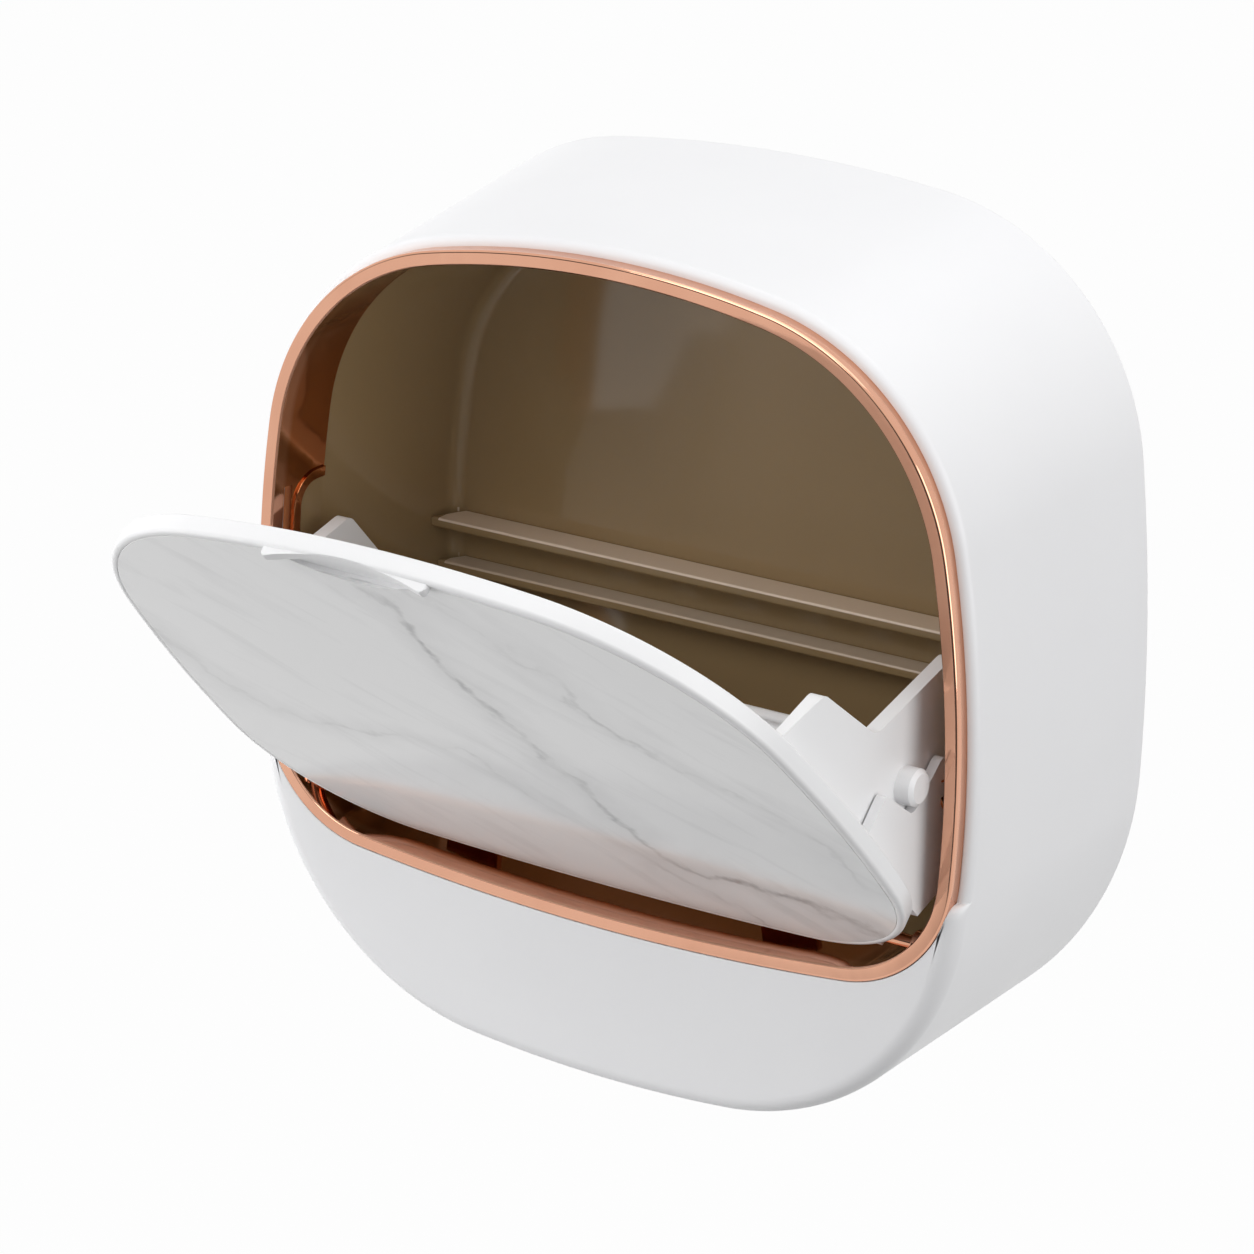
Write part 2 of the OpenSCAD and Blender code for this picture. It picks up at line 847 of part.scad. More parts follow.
module stud() {
    x0 = cradle_w / 2 - seat_gap;
    x1 = cradle_w / 2 + stud_l;
    cross_rod(x0, x1 - stud_bevel, stud_d, stud_z, stud_r);
    translate([x1 - stud_bevel, stud_d - wall_depth, stud_z])
        rotate([0, 90, 0])
            cylinder(h = stud_bevel, r1 = stud_r, r2 = stud_r - stud_bevel);
}

// Space that a rail of the lid takes as the cradle is lifted off
module rail_way() {
    floor_z = hinge_z + floor_rise;
    d0 = lid_back + slide_gap;
    head_end = lid_back + front_wall_t + rail_head_t + 3 * slide_gap;
    neck_top = hinge_z + rail_low + rail_h + slide_gap;
    neck = rail_neck_w + 2 * slide_gap;
    head = rail_head_w + 2 * slide_gap;
    slab(d0 - over, d0 + front_wall_t + over)
        translate([rail_x - neck / 2, floor_z - over]) square([neck, neck_top - floor_z + over]);
    slab(d0 + front_wall_t, head_end)
        translate([rail_x - head / 2, floor_z - over]) square([head, neck_top - floor_z + over]);
}

module soap_cradle() {
    floor_z = hinge_z + floor_rise;
    d0 = lid_back + slide_gap;
    inner_w = cradle_w - 2 * plate_t;
    pitch = (inner_w - 2 * rib_margin) / (rib_count - 1);
    slot_l = slot_l_share * (floor_reach - lid_back);
    slot_front = lid_back + slot_mid_share * (floor_reach - lid_back) - slot_l / 2;
    color("white")
        opened()
            difference() {
                union() {
                    intersection() {
                        slab(d0, cradle_reach) outline(inset(liner_mouth, liner_draft + slide_gap));
                        bin_walls(floor_z, d0, inner_w, slot_front, pitch);
                    }
                    mirrored() stud();
                }
                mirrored() rail_way();
                for (i = [0 : rib_count - 2])
                    slab(slot_front, slot_front + slot_l)
                        translate([(i - rib_count / 2 + 1) * pitch - slot_w_share * pitch / 2, floor_z - over])
                            square([slot_w_share * pitch, floor_t + 2 * over]);
            }
}

// Side plates, floor, front wall, rear lip and floor ribs of the bin
module bin_walls(floor_z, d0, inner_w, slot_front, pitch) {
    mirrored()
        side_slab(inner_w / 2, cradle_w / 2) cradle_side();
    slab(d0, floor_reach - heel_r)
        translate([-inner_w / 2 - plate_t / 2, floor_z])
            square([inner_w + plate_t, floor_t]);
    slab(d0, d0 + front_wall_t)
        translate([-inner_w / 2 - plate_t / 2, floor_z])
            square([inner_w + plate_t, front_wall_h]);
    side_slab(-inner_w / 2 - plate_t / 2, inner_w / 2 + plate_t / 2)
        rear_section();
    for (i = [0 : rib_count - 1])
        slab(slot_front, floor_reach - lip_t / 2)
            translate([(i - (rib_count - 1) / 2) * pitch - rib_t / 2, floor_z + floor_t / 2])
                square([rib_t, floor_t / 2 + rib_h]);
}

// Side view of the rear lip and the end of the floor that it turns up from
module rear_section() {
    floor_z = hinge_z + floor_rise;
    front = floor_reach - lip_t;
    top = floor_z + rear_lip_h;
    rounded([[floor_reach - 2 * heel_r, floor_z, 0], [floor_reach, floor_z, lip_r],
        [floor_reach, top, lip_t / 3], [front, top, lip_t / 3],
        [front, floor_z + floor_t, lip_r - lip_t], [floor_reach - 2 * heel_r, floor_z + floor_t, 0]]);
}

// Wall plate: flat plate with two hooks
plate_corner_r = 8;

module wall_plate() {
    base_front = wall_depth - pad_t - plate_base_t;
    color("gainsboro") {
        slab(base_front, wall_depth - pad_t) rounded_plate(plate_w, plate_h, plate_corner_r);
        slab(head_back - seat_gap, base_front + seat_gap)
            at_hooks() square([hook_neck_w, hook_h], center = true);
        slab(head_front, head_back)
            at_hooks() square([hook_head_w, hook_h], center = true);
    }
}

// Adhesive pad: foam tape between the wall plate and the wall
pad_margin = 2;

module adhesive_pad() {
    color("dimgray")
        slab(wall_depth - pad_t, wall_depth)
            rounded_plate(plate_w - 2 * pad_margin, plate_h - 2 * pad_margin, plate_corner_r - pad_margin);
}

outer_shell();
back_cover();
cover_screws();
trim_frame();
inner_liner();
lid_panel();
marble_face();
hinge_pin_left();
hinge_pin_right();
soap_cradle();
wall_plate();
adhesive_pad();
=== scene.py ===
import math

import bmesh
import bpy
from mathutils import Matrix, Quaternion, Vector


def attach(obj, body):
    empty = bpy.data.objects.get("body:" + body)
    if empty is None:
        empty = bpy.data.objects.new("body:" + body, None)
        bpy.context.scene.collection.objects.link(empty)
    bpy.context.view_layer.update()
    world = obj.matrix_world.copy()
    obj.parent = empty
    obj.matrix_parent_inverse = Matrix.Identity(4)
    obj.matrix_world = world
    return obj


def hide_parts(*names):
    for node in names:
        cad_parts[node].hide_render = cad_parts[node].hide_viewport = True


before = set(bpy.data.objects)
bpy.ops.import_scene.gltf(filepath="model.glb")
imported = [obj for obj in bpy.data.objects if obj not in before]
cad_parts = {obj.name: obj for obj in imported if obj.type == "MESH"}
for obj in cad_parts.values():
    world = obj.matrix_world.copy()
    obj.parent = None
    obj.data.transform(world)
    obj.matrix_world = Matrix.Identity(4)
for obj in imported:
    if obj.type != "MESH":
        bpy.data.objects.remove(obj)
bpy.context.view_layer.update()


# Camera
# It stands in front of the dish, well to its right and above it, and looks
# down at the tilted lid through a long lens.
scene = bpy.context.scene
lens = bpy.data.cameras.new("camera")
lens.sensor_width = 36
lens.lens = 127.14
camera = bpy.data.objects.new("camera", lens)
scene.collection.objects.link(camera)
camera.location = (0.36154, -0.57952, 0.24764)
sight = Vector((0.00238, -0.04704, 0.01091)) - camera.location
level = sight.to_track_quat("-Z", "Y")
camera.rotation_euler = (level @ Quaternion((0, 0, 1), math.radians(0.218))).to_euler()
scene.camera = camera


# Outer shell
# One injection moulding in white plastic. It flares towards the wall, and below the
# frame it steps forward into a chin with a softly rounded front edge.
def heading(start, end):
    return math.atan2(end.y - start.y, end.x - start.x)


def touching(p, p_radius, q, q_radius, side):
    """Centre of a circle that touches two bows from inside, above or below their line."""
    gap = (q - p).length
    along = (p_radius**2 - q_radius**2 + gap**2) / (2 * gap)
    across = math.sqrt(max(0, p_radius**2 - along**2))
    towards = (q - p) / gap
    square = Vector((-towards.y, towards.x)) * across
    if square.x + side * square.y < 0:
        square = -square
    return p + towards * along + square


class Outline:
    """Front view of the dish: four shallow bows joined by four corners that touch them."""

    def __init__(self, half, top, bottom, side_bow, top_bow, bottom_bow, top_corner, bottom_corner):
        self.sizes = (half, top, bottom, side_bow, top_bow, bottom_bow, top_corner, bottom_corner)
        self.side = Vector((half - side_bow, 0))
        self.top = Vector((0, top - top_bow))
        self.bottom = Vector((0, bottom + bottom_bow))
        self.upper = touching(self.side, side_bow - top_corner, self.top, top_bow - top_corner, 1)
        self.lower = touching(
            self.side, side_bow - bottom_corner, self.bottom, bottom_bow - bottom_corner, -1
        )
        self.turns = (
            (self.bottom, -math.pi / 2, heading(self.bottom, self.lower), 16),
            (self.lower, heading(self.bottom, self.lower), heading(self.side, self.lower), 40),
            (self.side, heading(self.side, self.lower), heading(self.side, self.upper), 32),
            (self.upper, heading(self.side, self.upper), heading(self.top, self.upper), 44),
            (self.top, heading(self.top, self.upper), math.pi / 2, 16),
        )

    def inset(self, gap):
        signs = (-1, -1, 1, -1, -1, -1, -1, -1)
        return Outline(*(size + sign * gap for size, sign in zip(self.sizes, signs)))

    def outward(self, x, z):
        """Direction square to the outline, away from its middle."""
        place = Vector((abs(x), z))
        for centre, start, end, steps in self.turns[:3] if z < 0 else self.turns[2:]:
            if start - 1e-4 <= heading(centre, place) <= end + 1e-4:
                away = (place - centre).normalized()
                return Vector((math.copysign(away.x, x), 0, away.y))
        return Vector((0, 0, 0))

    def half_width(self, z):
        """Half width at a height where the side bow or the lower corner runs."""
        if z > self.turns[2][1] and z > self.lower.y + self.sizes[7] * math.sin(self.turns[1][2]):
            return self.side.x + math.sqrt(self.sizes[3] ** 2 - z**2)
        return self.lower.x + math.sqrt(self.sizes[7] ** 2 - (z - self.lower.y) ** 2)

    def ring(self, bm, depth):
        """Edges of the right half at a depth: one point is spun about each centre in turn."""
        old = set(bm.edges)
        tip = bmesh.ops.create_vert(bm, co=(0, depth, self.sizes[2]))["vert"][0]
        for centre, start, end, steps in self.turns:
            for step in range(steps):
                tip = bmesh.ops.spin(
                    bm,
                    geom=[tip],
                    cent=(centre.x, depth, centre.y),
                    axis=(0, -1, 0),
                    angle=(end - start) / steps,
                    steps=1,
                )["geom_last"][0]
        tip.co.x = 0
        return [edge for edge in bm.edges if edge not in old]


def skin(bm, rings):
    """Faces between each half ring and the next."""
    for near, far in zip(rings, rings[1:]):
        bmesh.ops.bridge_loops(bm, edges=near + far)


def whole(bm):
    """The other half of a symmetrical piece, with its open ends closed."""
    half = bm.verts[:] + bm.edges[:] + bm.faces[:]
    bmesh.ops.mirror(bm, geom=half, matrix=Matrix.Identity(4), merge_dist=1e-4, axis="X")
    ends = [edge for edge in bm.edges if edge.is_boundary]
    if ends:
        bmesh.ops.edgeloop_fill(bm, edges=ends)
    bmesh.ops.recalc_face_normals(bm, faces=bm.faces)


def level_cuts(bm, heights):
    """Edges round the mesh at some heights, so that it can bend there."""
    for height in heights:
        bmesh.ops.bisect_plane(
            bm,
            geom=bm.verts[:] + bm.edges[:] + bm.faces[:],
            dist=1e-4,
            plane_co=(0, 0, height),
            plane_no=(0, 0, 1),
        )


WALL_DEPTH = 53.5


def piece(bm, name, material, body, slot, *nodes, crease=32):
    """A finished piece from a mesh in millimetres, with depths counted from the frame's face."""
    to_wall = Matrix.Translation((0, -WALL_DEPTH * 0.001, 0)) @ Matrix.Scale(0.001, 4)
    bmesh.ops.transform(bm, matrix=to_wall, verts=bm.verts)
    bmesh.ops.recalc_face_normals(bm, faces=bm.faces)
    for face in bm.faces:
        face.smooth = True
    for edge in bm.edges:
        edge.smooth = edge.calc_face_angle(0) < math.radians(crease)
    mesh = bpy.data.meshes.new(name)
    bm.to_mesh(mesh)
    bm.free()
    mesh.materials.append(material)
    made = bpy.data.objects.new(name, mesh)
    scene.collection.objects.link(made)
    even = made.modifiers.new("even", "WEIGHTED_NORMAL")
    even.keep_sharp = True
    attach(made, body)
    if nodes:
        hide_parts(*nodes)
    return made


class Wire:
    """An output socket of a material, with the sums that this scene writes on it."""

    def __init__(self, finish, socket):
        self.finish = finish
        self.socket = socket

    def sum(self, operation, first, second):
        return self.finish.node("Math", {"operation": operation}, {0: first, 1: second})

    def __add__(self, other):
        return self.sum("ADD", self, other)

    def __radd__(self, other):
        return self.sum("ADD", other, self)

    def __sub__(self, other):
        return self.sum("SUBTRACT", self, other)

    def __rsub__(self, other):
        return self.sum("SUBTRACT", other, self)

    def __mul__(self, other):
        return self.sum("MULTIPLY", self, other)

    def __rmul__(self, other):
        return self.sum("MULTIPLY", other, self)


class Finish:
    """A material: its plain values sit on the shader, and what varies is wired to it."""

    def __init__(self, name, **plain):
        self.material = bpy.data.materials.new(name)
        self.material.use_nodes = True
        self.tree = self.material.node_tree
        self.shader = self.tree.nodes["Principled BSDF"]
        for key, value in plain.items():
            self.shader.inputs[key.replace("_", " ")].default_value = value

    def node(self, kind, settings=None, sockets=None, out=0):
        made = self.tree.nodes.new("ShaderNode" + kind)
        for key, value in (settings or {}).items():
            if key == "stops":
                ramp = made.color_ramp
                while len(ramp.elements) < len(value):
                    ramp.elements.new(0.5)
                for element, (place, shade) in zip(ramp.elements, value):
                    element.position = place
                    element.color = (*shade, 1) if isinstance(shade, tuple) else (shade,) * 3 + (1,)
            else:
                setattr(made, key, value)
        for key, value in (sockets or {}).items():
            if isinstance(value, Wire):
                self.tree.links.new(value.socket, made.inputs[key])
            else:
                made.inputs[key].default_value = value
        return Wire(self, made.outputs[out])

    def place(self):
        return self.node("TexCoord", out="Object")

    def noise(self, scale, detail=2, where=None, warp=0):
        return self.node(
            "TexNoise",
            {"noise_dimensions": "3D"},
            {"Vector": where or self.place(), "Scale": scale, "Detail": detail, "Distortion": warp},
        )

    def blend(self, share, first, second):
        """Colour between two colours, by a share from 0 to 1."""
        return self.node(
            "Mix",
            {"data_type": "RGBA"},
            {
                "Factor": share,
                6: first if isinstance(first, Wire) else (*first, 1),
                7: second if isinstance(second, Wire) else (*second, 1),
            },
            out=2,
        )

    def bump(self, height, strength, distance, under=None):
        sockets = {"Height": height, "Strength": strength, "Distance": distance}
        if under:
            sockets["Normal"] = under
        return self.node("Bump", {}, sockets)

    def wire(self, key, value):
        self.tree.links.new(value.socket, self.shader.inputs[key])


def white_moulding(name, light, shade, gloss):
    """White plastic with faint clouding, handling marks and the grain of a polished mould."""
    finish = Finish(name, Specular_IOR_Level=0.5, IOR=1.47)
    finish.wire("Base Color", finish.blend(finish.noise(28, 3), light, shade))
    marks = finish.noise(70, 4, warp=0.6)
    finish.wire("Roughness", marks * 0.12 + (gloss - 0.06))
    grain = finish.bump(finish.noise(1300, 2), 0.02, 0.0002)
    finish.wire("Normal", finish.bump(finish.noise(42, 1), 0.04, 0.002, grain))
    return finish.material


case_front = Outline(67, 72, -65, 203, 156, 244, 42, 46.5)
case_back = Outline(69, 76.7, -68.6, 330, 245, 240, 42, 57)
frame_outer = Outline(65.3, 70.3, -37.9, 201.3, 154.3, 414, 40.3, 21.2)
frame_opening = frame_outer.inset(2.4)
CASE_DEPTH = 52.5
CASE_WALL = 2.4
FRONT_WALL_BACK = 5.2
COVER_SEAT = 49.2
COVER_RIM = 1.4
BACK_ROUND = 0.8
FRAME_PLAY = 0.1
SKIRT = 2.8
CHIN_FACE = 0.3
CHIN_ROUND = 3.0
RIM_ROUND = 1.6
SHOULDER_TOP = -18.8
SHOULDER_ROUND = 2.4

shell = bmesh.new()
rings = [
    frame_opening.inset(-1.5).ring(shell, SKIRT),
    frame_outer.inset(-FRAME_PLAY).ring(shell, SKIRT),
    frame_outer.inset(-FRAME_PLAY).ring(shell, CHIN_FACE),
]
in_round = shell.verts.layers.float.new("in_round")
old = set(shell.verts)
for step in range(9):
    turn = math.radians(90 * step / 8)
    reach = CHIN_ROUND * (1 - math.sin(turn))
    rings.append(case_front.inset(reach).ring(shell, CHIN_FACE + CHIN_ROUND * (1 - math.cos(turn))))
for vert in set(shell.verts) - old:
    vert[in_round] = 1
rings.append(case_front.ring(shell, 4.9))
for step in range(5):
    turn = math.radians(90 * step / 4)
    reach = BACK_ROUND * (1 - math.cos(turn))
    rings.append(case_back.inset(reach).ring(shell, CASE_DEPTH - BACK_ROUND * (1 - math.sin(turn))))
rings.append(case_back.inset(COVER_RIM).ring(shell, CASE_DEPTH))
rings.append(case_back.inset(COVER_RIM).ring(shell, COVER_SEAT))
rings.append(case_back.inset(CASE_WALL).ring(shell, COVER_SEAT))
rings.append(case_front.inset(CASE_WALL).ring(shell, FRONT_WALL_BACK))
rings.append(frame_opening.inset(-1.5).ring(shell, FRONT_WALL_BACK))
skin(shell, rings + rings[:1])
whole(shell)

shoulder_steps = (0, 0.05, 0.2, 0.45, 0.8, 1.2, 1.8, 2.4)
level_cuts(shell, [SHOULDER_TOP - below for below in shoulder_steps])
for vert in shell.verts:
    x, depth, z = vert.co
    below = SHOULDER_TOP - z
    if below <= 0:
        rise = SKIRT - CHIN_FACE
    elif below < SHOULDER_ROUND:
        rise = SHOULDER_ROUND - math.sqrt(SHOULDER_ROUND**2 - (SHOULDER_ROUND - below) ** 2)
    else:
        rise = 0
    share = rise / (SKIRT - CHIN_FACE)
    if vert[in_round] > 0:
        turn = math.acos(max(-1, min(1, 1 - (depth - CHIN_FACE) / CHIN_ROUND)))
        radius = CHIN_ROUND + (RIM_ROUND - CHIN_ROUND) * share
        was = CHIN_ROUND * (1 - math.sin(turn))
        now = radius * (1 - math.sin(turn))
        vert.co += case_front.outward(x, z) * (was - now) * vert[in_round]
        vert.co.y = CHIN_FACE + rise + radius * (1 - math.cos(turn))
    elif depth < CHIN_FACE + 0.01:
        vert.co.y = CHIN_FACE + rise

shell_white = white_moulding("shell_white", (0.85, 0.85, 0.86), (0.80, 0.80, 0.815), 0.34)
piece(shell, "shell", shell_white, "housing", "shell_white", "outer_shell")


# Trim frame
# Bezel and sleeve in one plastic moulding with a bright rose-copper plating. A through slot
# and a beaded notch lie in each side of the sleeve, and the lid's pins turn in two bosses.
def carve(bm, tool, operation="DIFFERENCE"):
    """The mesh after another one is cut from it or joined to it. Both are used up."""
    things = []
    for source in (bm, tool):
        mesh = bpy.data.meshes.new("carving")
        bmesh.ops.recalc_face_normals(source, faces=source.faces)
        source.to_mesh(mesh)
        source.free()
        thing = bpy.data.objects.new("carving", mesh)
        scene.collection.objects.link(thing)
        things.append(thing)
    step = things[0].modifiers.new("carve", "BOOLEAN")
    step.operation = operation
    step.solver = "EXACT"
    step.object = things[1]
    result = bmesh.new()
    result.from_object(things[0], bpy.context.evaluated_depsgraph_get())
    for thing in things:
        mesh = thing.data
        bpy.data.objects.remove(thing)
        bpy.data.meshes.remove(mesh)
    return result


def join(bm, other):
    """Adds the other mesh to this one. The other is used up."""
    mesh = bpy.data.meshes.new("joining")
    other.to_mesh(mesh)
    other.free()
    bm.from_mesh(mesh)
    bpy.data.meshes.remove(mesh)


def both_sides(bm):
    """Doubles the mesh onto the other side of the dish."""
    bmesh.ops.mirror(bm, geom=bm.verts[:] + bm.edges[:] + bm.faces[:], merge_dist=-1, axis="X")
    bmesh.ops.recalc_face_normals(bm, faces=bm.faces)
    return bm


def side_plate(corners, x0, x1, round_edges=0.0):
    """Flat shape in side view, given as (depth, height, radius of that corner), made solid."""
    bm = bmesh.new()
    places = [Vector((x0, depth, z)) for depth, z, radius in corners]
    verts = [bmesh.ops.create_vert(bm, co=place)["vert"][0] for place in places]
    bmesh.ops.contextual_create(bm, geom=verts)
    for index, vert in enumerate(verts):
        radius = corners[index][2]
        if radius:
            before = places[index] - places[index - 1]
            after = places[(index + 1) % len(places)] - places[index]
            bmesh.ops.bevel(
                bm,
                geom=[vert],
                offset=radius * math.tan(before.angle(after) / 2),
                offset_type="OFFSET",
                affect="VERTICES",
                segments=8,
                profile=0.5,
                material=-1,
            )
    grown = bmesh.ops.extrude_face_region(bm, geom=bm.faces[:])["geom"]
    bmesh.ops.translate(
        bm, verts=[part for part in grown if isinstance(part, bmesh.types.BMVert)], vec=(x1 - x0, 0, 0)
    )
    bmesh.ops.recalc_face_normals(bm, faces=bm.faces)
    if round_edges:
        soften(bm, round_edges)
    return bm


def soften(bm, radius, segments=3, least=40):
    """Rounds every edge that is sharper than an angle."""
    sharp = [edge for edge in bm.edges if edge.calc_face_angle(0) > math.radians(least)]
    bmesh.ops.bevel(
        bm,
        geom=sharp,
        offset=radius,
        offset_type="OFFSET",
        affect="EDGES",
        segments=segments,
        profile=0.5,
        material=-1,
        clamp_overlap=True,
    )


def block(x0, x1, depth0, depth1, z0, z1):
    bm = bmesh.new()
    bmesh.ops.create_cube(bm, size=1)
    bmesh.ops.scale(bm, vec=(x1 - x0, depth1 - depth0, z1 - z0), verts=bm.verts)
    centre = ((x0 + x1) / 2, (depth0 + depth1) / 2, (z0 + z1) / 2)
    bmesh.ops.translate(bm, vec=centre, verts=bm.verts)
    return bm


def cross_rod(x0, x1, depth, z, radius, segments=48):
    bm = bmesh.new()
    bmesh.ops.create_cone(
        bm, cap_ends=True, segments=segments, radius1=radius, radius2=radius, depth=x1 - x0
    )
    bmesh.ops.rotate(bm, cent=(0, 0, 0), matrix=Matrix.Rotation(math.pi / 2, 3, "Y"), verts=bm.verts)
    bmesh.ops.translate(bm, vec=((x0 + x1) / 2, depth, z), verts=bm.verts)
    return bm


def right_half(bm):
    """What lies on the right of the middle, made whole again from there."""
    bmesh.ops.bisect_plane(
        bm,
        geom=bm.verts[:] + bm.edges[:] + bm.faces[:],
        dist=1e-4,
        plane_co=(0, 0, 0),
        plane_no=(1, 0, 0),
        clear_inner=True,
    )
    whole(bm)


SLEEVE_BACK = 13.1
HINGE = (3.55, -27.5)
PIN_R = 1.1

bezel = bmesh.new()
rings = [
    frame_opening.ring(bezel, SLEEVE_BACK),
    frame_opening.ring(bezel, 6),
    frame_opening.ring(bezel, 0.36),
    frame_opening.inset(-0.03).ring(bezel, 0.28),
    frame_opening.inset(-0.24).ring(bezel, 0.04),
    frame_opening.inset(-0.32).ring(bezel, 0.0),
    frame_outer.inset(0.46).ring(bezel, 0.0),
    frame_outer.inset(0.29).ring(bezel, 0.03),
    frame_outer.inset(0.135).ring(bezel, 0.135),
    frame_outer.inset(0.03).ring(bezel, 0.29),
    frame_outer.ring(bezel, 0.46),
    frame_outer.ring(bezel, SKIRT),
    frame_opening.inset(-1.4).ring(bezel, SKIRT),
    frame_opening.inset(-1.4).ring(bezel, 6),
    frame_opening.inset(-1.4).ring(bezel, SLEEVE_BACK),
]
skin(bezel, rings + rings[:1])
whole(bezel)

notch = [(14.2, 21.8, 0), (14.2, -9, 0), (7.2, -9, 3.6), (7.2, 21.8, 3.6)]
slot = [(SKIRT + 0.03, 5, 0), (SKIRT + 0.03, 22.5, 0), (SKIRT + 2, 22.5, 0), (SKIRT + 2, 5, 0)]
for opening in (notch, slot):
    bezel = carve(bezel, side_plate(opening, 52, 70))
right_half(bezel)

bead = side_plate([(13.1, 23.6, 0), (13.1, -10.8, 0), (5.4, -10.8, 5.4), (5.4, 23.6, 5.4)], -0.4, 0.3)
bead = carve(bead, side_plate(notch, -2, 2))
soften(bead, 0.16, 2)
level_cuts(bead, range(-10, 24, 2))
for vert in bead.verts:
    vert.co.x += frame_opening.half_width(vert.co.z)
boss = cross_rod(57.1, 61.2, *HINGE, 2.2)
boss = carve(boss, cross_rod(56, 62, *HINGE, PIN_R + 0.05))
soften(boss, 0.25, 2)
join(bead, boss)
stop = block(25.2, 35.2, 10.04, 11.84, -35.9, -31)
soften(stop, 0.3, 2)
join(bead, stop)
join(bezel, both_sides(bead))


def plated(name):
    """Rose-copper plating: bright, slightly wavy, clouded by handling, with painted shade that turns it
    darker and redder deeper in the sleeve.
    """
    finish = Finish(name, Metallic=1.0, Specular_IOR_Level=0.5)
    tone = finish.blend(finish.noise(55, 3, warp=0.8), (0.79, 0.44, 0.30), (0.66, 0.33, 0.215))
    depth = finish.node("SeparateXYZ", {}, {0: finish.place()}, "Y")
    # Painted shade: past about 3.5 mm from the frame's face the colour goes to a darker, redder copper,
    # standing in for the shade that falls in the sleeve.
    inside = finish.node("MapRange", {}, {"Value": depth, "From Min": -0.0512, "From Max": -0.0500})
    finish.wire("Base Color", finish.blend(inside, tone, (0.56, 0.225, 0.095)))
    finish.wire("Roughness", finish.noise(120, 4, warp=0.5) * 0.10 + 0.03)
    waves = finish.bump(finish.noise(60, 2, warp=1.2), 0.16, 0.0005)
    finish.wire("Normal", finish.bump(finish.noise(2400, 2), 0.01, 0.0001, waves))
    return finish.material


copper = plated("trim_copper")
piece(bezel, "bezel", copper, "housing", "trim_copper", "trim_frame", crease=28)


# Inner liner
# A smoky tub behind the sleeve, moulded in tinted glossy plastic. Two ledges run across its back, their
# tops painted paler as painted light, and its side walls lean in towards the back so that it leaves its
# mould.
LINER_BACK = 47.2
LINER_WALL = 1.2
LINER_ROUND = 2.6
LEDGES = ((7.5, 6.0), (-0.6, 4.4))
liner_mouth = frame_opening.inset(-0.2)
liner = bmesh.new()
rings = []
for outset, back in ((0, LINER_BACK - LINER_WALL), (LINER_WALL, LINER_BACK)):
    bottom = liner_mouth.inset(3.2 - outset)
    mouth_ring = liner_mouth.inset(-outset).ring(liner, SLEEVE_BACK + 0.1)
    stack = [mouth_ring, bottom.ring(liner, back - LINER_ROUND)]
    for step in range(1, 7):
        turn = math.radians(90 * step / 6)
        reach = LINER_ROUND * (1 - math.cos(turn))
        stack.append(bottom.inset(reach).ring(liner, back - LINER_ROUND * (1 - math.sin(turn))))
    skin(liner, stack)
    rings.append(stack[0])
skin(liner, rings)
whole(liner)
for height, reach in LEDGES:
    front = LINER_BACK - LINER_WALL - reach
    shelf = block(-60.2, 60.2, front, LINER_BACK - 0.6, height - 1.7, height)
    for vert in shelf.verts:
        if vert.co.y > LINER_BACK - 1:
            vert.co.x *= 0.945
    soften(shelf, 0.35, 3)
    join(liner, shelf)
tongue_back = SLEEVE_BACK + 1.2
tongue_corners = [(tongue_back, 21.6, 0), (tongue_back, -8.8, 0), (7.4, -8.8, 3.4), (7.4, 21.6, 3.4)]
tongue = side_plate(tongue_corners, 0.2, 1.4)
level_cuts(tongue, range(-8, 22, 2))
for vert in tongue.verts:
    vert.co.x += frame_opening.half_width(vert.co.z)
join(liner, both_sides(tongue))

smoke = Finish("liner_smoke", Specular_IOR_Level=0.6, IOR=1.5)
haze = smoke.blend(smoke.noise(16, 2), (0.37, 0.26, 0.135), (0.27, 0.185, 0.09))


def near(way, middle, reach):
    """1 within a reach of a place along one axis, and 0 soon after."""
    along = smoke.node("SeparateXYZ", {}, {0: smoke.place()}, way)
    apart = smoke.node("Math", {"operation": "ABSOLUTE"}, {0: along - middle})
    return smoke.node(
        "MapRange", {}, {"Value": apart, "From Min": reach + 0.00015, "From Max": reach}
    )


# Painted light: a thin strip along the top of each ledge is painted pale taupe, fully on the upper ledge
# and at 0.6 on the lower, as if light fell on it.
for (height, reach), share in zip(LEDGES, (1.0, 0.6)):
    span = near("X", 0, 0.0585) * near("Y", -0.0107, 0.0028)
    painted_lit_top = span * near("Z", height * 0.001, 0.0003) * share
    haze = smoke.blend(painted_lit_top, haze, (0.88, 0.74, 0.60))
smoke.wire("Base Color", haze)
smoke.wire("Roughness", smoke.noise(60, 3) * 0.06 + 0.06)
smoke.wire("Normal", smoke.bump(smoke.noise(30, 2), 0.06, 0.002))
piece(liner, "liner", smoke.material, "housing", "liner_smoke", "inner_liner", crease=28)


# Lid panel
# White plastic slab, drawn tilted open on its pins. A finger pull is moulded into its top
# edge; behind it stand a cheek on each side and two rails that carry the cradle.
OPEN = math.radians(42.7)
LID_FRONT = 1.75
LID_BACK = 5.05
lid_edge = Outline(62.4, 67.4, -35.0, 198.4, 151.4, 410.0, 37.4, 28)


def tilted(bm):
    """Turns what was drawn on the closed lid into the open pose."""
    hub = Vector((0, *HINGE))
    bmesh.ops.rotate(bm, cent=hub, matrix=Matrix.Rotation(OPEN, 3, "X"), verts=bm.verts)
    return bm


def prism(outline, depth0, depth1):
    bm = bmesh.new()
    skin(bm, [outline.ring(bm, depth0), outline.ring(bm, depth1)])
    whole(bm)
    return bm


